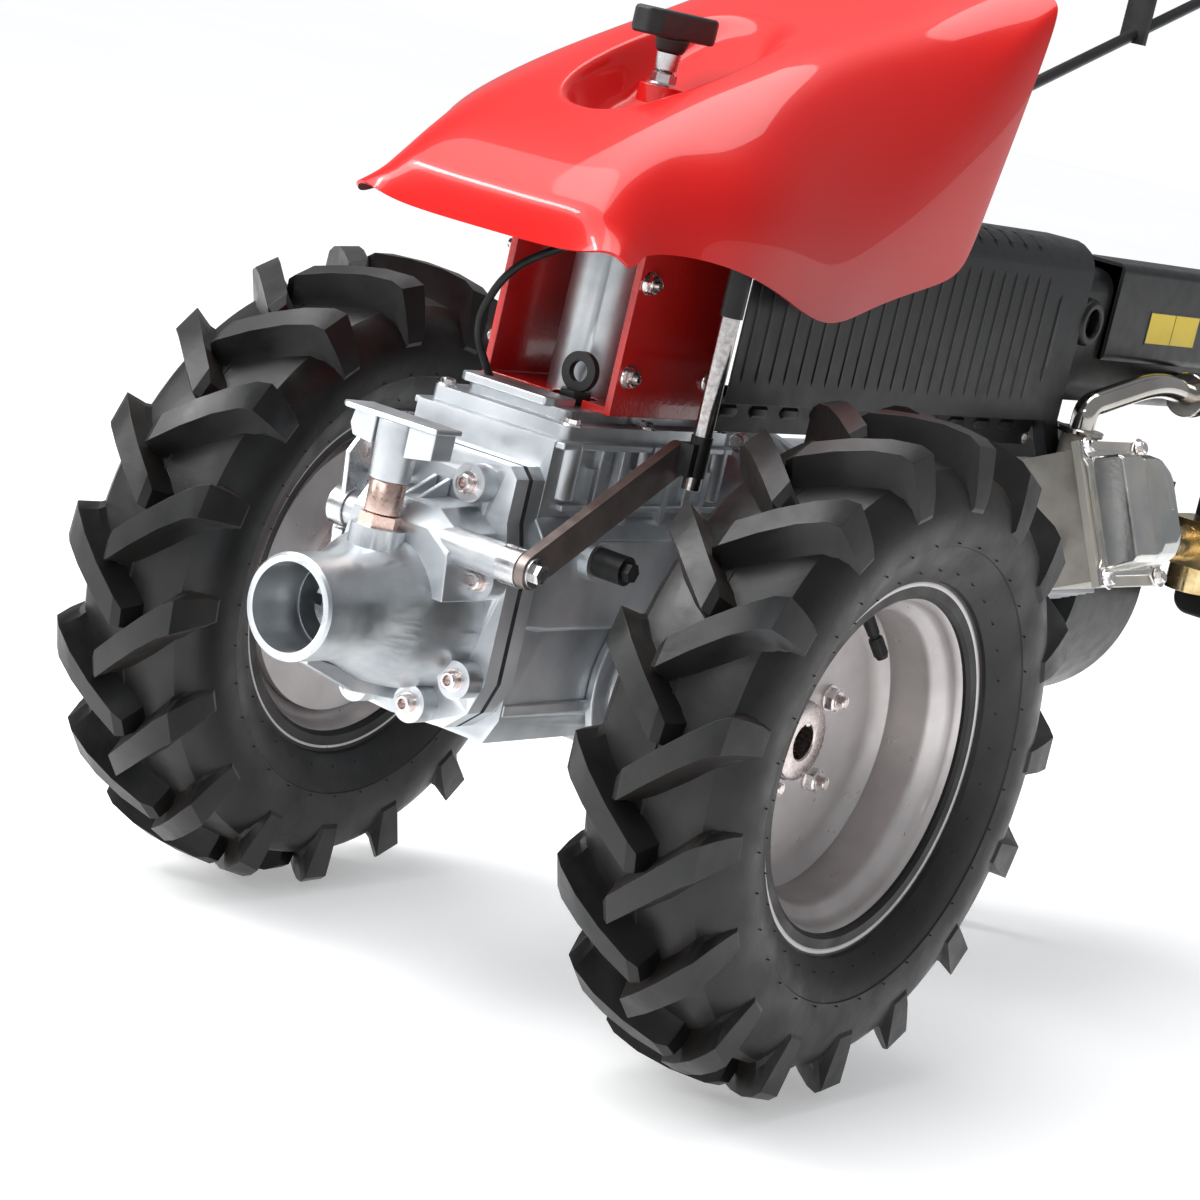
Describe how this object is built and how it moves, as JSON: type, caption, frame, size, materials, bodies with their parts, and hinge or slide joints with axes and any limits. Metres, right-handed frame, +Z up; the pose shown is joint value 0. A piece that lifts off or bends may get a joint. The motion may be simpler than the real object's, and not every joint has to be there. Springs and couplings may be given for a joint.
{
  "type": "two-wheel walk-behind tractor",
  "caption": "Walk-behind farm tractor with gearbox, rear implement socket, side-tilted engine, lugged wheels, hood and adjustable handlebars.",
  "frame": {"origin": "on the floor under the middle of the machine's box", "axes": "+X across, the side of the exhaust; +Y from the implement socket to the grips; +Z up"},
  "size_m": [0.615, 1.4899, 1.071],
  "materials": {
    "cast_aluminium": "satin sand-cast",
    "machined_steel": "machined",
    "zinc_fasteners": "zinc plated with a faint pink passivate",
    "raw_steel": "mill scale",
    "chrome": "polished",
    "red_paint": "rough orange-peel",
    "red_hood": "gloss moulded",
    "black_powder_coat": "satin powder coat",
    "black_plastic": "grained",
    "rubber": "matt",
    "tyre_rubber": "matt with a sheen between the lugs",
    "rim_paint": "warm silver grey",
    "cast_iron": "as cast",
    "gasket": "fibre",
    "copper": "turned bronze",
    "zinc_pressing": "bright zinc pressing",
    "brass_bowl": "yellow passivated zinc alloy"
  },
  "bodies": {
    "chassis": {"gearbox_housing": "cast_aluminium", "gearbox_cover": "cast_aluminium", "oil_dipstick": "black_plastic", "pto_housing": "cast_aluminium", "pto_gasket": "gasket", "pto_screws": "zinc_fasteners", "hitch_bush": "copper", "axle_housings": "cast_aluminium", "shaft_bearings": "machined_steel", "rubber_seals": "rubber", "hood_bracket": "red_paint", "hood": "red_hood", "control_cable": "rubber", "bell_housing": "cast_aluminium", "engine_adapter": "cast_aluminium", "crankcase": "cast_aluminium", "cylinder_head": "cast_aluminium", "valve_cover": "zinc_pressing", "spark_plug": "rubber", "fan_housing": "black_powder_coat", "recoil_starter": "black_plastic", "carburettor": "brass_bowl", "air_cleaner": "black_plastic", "fuel_tank": "black_plastic", "exhaust_pipe": "chrome", "muffler": "black_powder_coat", "muffler_shield": "black_powder_coat", "muffler_guard": "black_powder_coat", "hex_bolts": "zinc_fasteners"},
    "pto_shaft": {"pto_shaft": "machined_steel"},
    "input_shaft": {"input_shaft": "machined_steel"},
    "worm_wheel": {"worm_wheel": "cast_iron"},
    "crank": {"crankshaft": "machined_steel", "flywheel": "cast_iron"},
    "hitch_pin": {"hitch_pin": "machined_steel"},
    "shift_lever": {"shift_shaft": "machined_steel", "pto_lever_arm": "raw_steel"},
    "pto_rod": {"pto_rod": "chrome", "rod_clamp": "black_powder_coat"},
    "clamp_knob": {"clamp_knob": "black_plastic"},
    "starter_handle": {"starter_handle": "black_plastic"},
    "fuel_cap": {"fuel_cap": "black_plastic"},
    "parking_stand": {"parking_stand": "black_powder_coat"},
    "mast": {"mast": "black_powder_coat"},
    "handlebar": {"handlebar_frame": "black_powder_coat", "grips": "rubber", "console": "black_plastic"},
    "gear_rod": {"gear_rod": "black_powder_coat"},
    "pto_hand_lever": {"pto_hand_lever": "black_plastic"},
    "clutch_lever": {"clutch_lever": "black_plastic"},
    "brake_lever": {"brake_lever": "black_plastic"},
    "throttle_lever": {"throttle_lever": "black_plastic"},
    "wheel_right": {"tyre_right": "tyre_rubber", "rim_right": "rim_paint", "hub_right": "machined_steel", "wheel_nuts_right": "zinc_fasteners"},
    "wheel_left": {"tyre_left": "tyre_rubber", "rim_left": "rim_paint", "hub_left": "machined_steel", "wheel_nuts_left": "zinc_fasteners"}
  },
  "joints": [
    {"name": "wheel_right_spin", "type": "hinge", "parent": "chassis", "child": "wheel_right", "pos_m": [0.2435, -0.3952, 0.258], "axis": [1, 0, 0], "continuous": true},
    {"name": "wheel_left_spin", "type": "hinge", "parent": "chassis", "child": "wheel_left", "pos_m": [-0.2435, -0.3952, 0.258], "axis": [1, 0, 0], "continuous": true},
    {"name": "crank_spin", "type": "hinge", "parent": "chassis", "child": "crank", "pos_m": [0, 0.0048, 0.335], "axis": [0, 1, 0], "continuous": true},
    {"name": "input_spin", "type": "hinge", "parent": "chassis", "child": "input_shaft", "pos_m": [0, -0.3952, 0.335], "axis": [0, 1, 0], "continuous": true},
    {"name": "pto_spin", "type": "hinge", "parent": "chassis", "child": "pto_shaft", "pos_m": [0, -0.6452, 0.303], "axis": [0, 1, 0], "continuous": true},
    {"name": "worm_wheel_spin", "type": "hinge", "parent": "chassis", "child": "worm_wheel", "pos_m": [0, -0.3952, 0.258], "axis": [1, 0, 0], "continuous": true},
    {"name": "pto_lever_turn", "type": "hinge", "parent": "chassis", "child": "shift_lever", "pos_m": [0.116, -0.6372, 0.361], "axis": [1, 0, 0], "range_deg": [-12, 12]},
    {"name": "pto_rod_pivot", "type": "hinge", "parent": "shift_lever", "child": "pto_rod", "pos_m": [0.116, -0.4872, 0.444], "axis": [1, 0, 0], "range_deg": [-12, 12]},
    {"name": "hitch_pin_lift", "type": "slide", "parent": "chassis", "child": "hitch_pin", "axis": [0, 0, 1], "range_m": [0, 0.012], "stiffness_N_per_m": 1500, "springref_m": -0.01},
    {"name": "clamp_knob_turn", "type": "hinge", "parent": "chassis", "child": "clamp_knob", "pos_m": [0, -0.4412, 0.7], "axis": [0, 0, 1], "range_deg": [0, 180]},
    {"name": "starter_pull", "type": "slide", "parent": "chassis", "child": "starter_handle", "axis": [0, 1, 0], "range_m": [0, 0.45], "stiffness_N_per_m": 20, "springref_m": -0.1},
    {"name": "fuel_cap_turn", "type": "hinge", "parent": "chassis", "child": "fuel_cap", "pos_m": [-0.082, 0.3448, 0.606], "axis": [0, 0, 1], "range_deg": [0, 90]},
    {"name": "stand_fold", "type": "hinge", "parent": "chassis", "child": "parking_stand", "pos_m": [0, 0.1648, 0.22], "axis": [1, 0, 0], "range_deg": [-64, 0]},
    {"name": "handlebar_swing", "type": "hinge", "parent": "chassis", "child": "mast", "pos_m": [0, -0.3352, 0.67], "axis": [0, 0, 1], "range_deg": [-11, 11]},
    {"name": "handlebar_height", "type": "hinge", "parent": "mast", "child": "handlebar", "pos_m": [0, -0.0932, 0.85], "axis": [1, 0, 0], "range_deg": [-8, 12]},
    {"name": "gear_rod_slide", "type": "slide", "parent": "handlebar", "child": "gear_rod", "axis": [0, 0.9334, 0.3588], "range_m": [-0.02, 0.02]},
    {"name": "pto_hand_turn", "type": "hinge", "parent": "handlebar", "child": "pto_hand_lever", "pos_m": [0.066, 0.2148, 0.957], "axis": [1, 0, 0], "range_deg": [-18, 18]},
    {"name": "clutch_squeeze", "type": "hinge", "parent": "handlebar", "child": "clutch_lever", "pos_m": [-0.25, 0.5698, 0.995], "axis": [1, 0, 0], "range_deg": [0, 11], "stiffness_Nm_per_rad": 3, "springref_deg": -11.46},
    {"name": "brake_squeeze", "type": "hinge", "parent": "handlebar", "child": "brake_lever", "pos_m": [0.25, 0.5698, 0.995], "axis": [1, 0, 0], "range_deg": [0, 11], "stiffness_Nm_per_rad": 3, "springref_deg": -11.46},
    {"name": "throttle_turn", "type": "hinge", "parent": "handlebar", "child": "throttle_lever", "pos_m": [0.223, 0.5448, 1.021], "axis": [1, 0, 0], "range_deg": [0, 50]}
  ],
  "couplings": [
    {"joint": "input_spin", "follows": "crank_spin", "ratio": 1},
    {"joint": "pto_spin", "follows": "crank_spin", "ratio": -0.7727},
    {"joint": "worm_wheel_spin", "follows": "crank_spin", "ratio": 0.0357},
    {"joint": "pto_rod_pivot", "follows": "pto_lever_turn", "ratio": -1},
    {"joint": "pto_hand_turn", "follows": "pto_lever_turn", "ratio": 1.5}
  ]
}
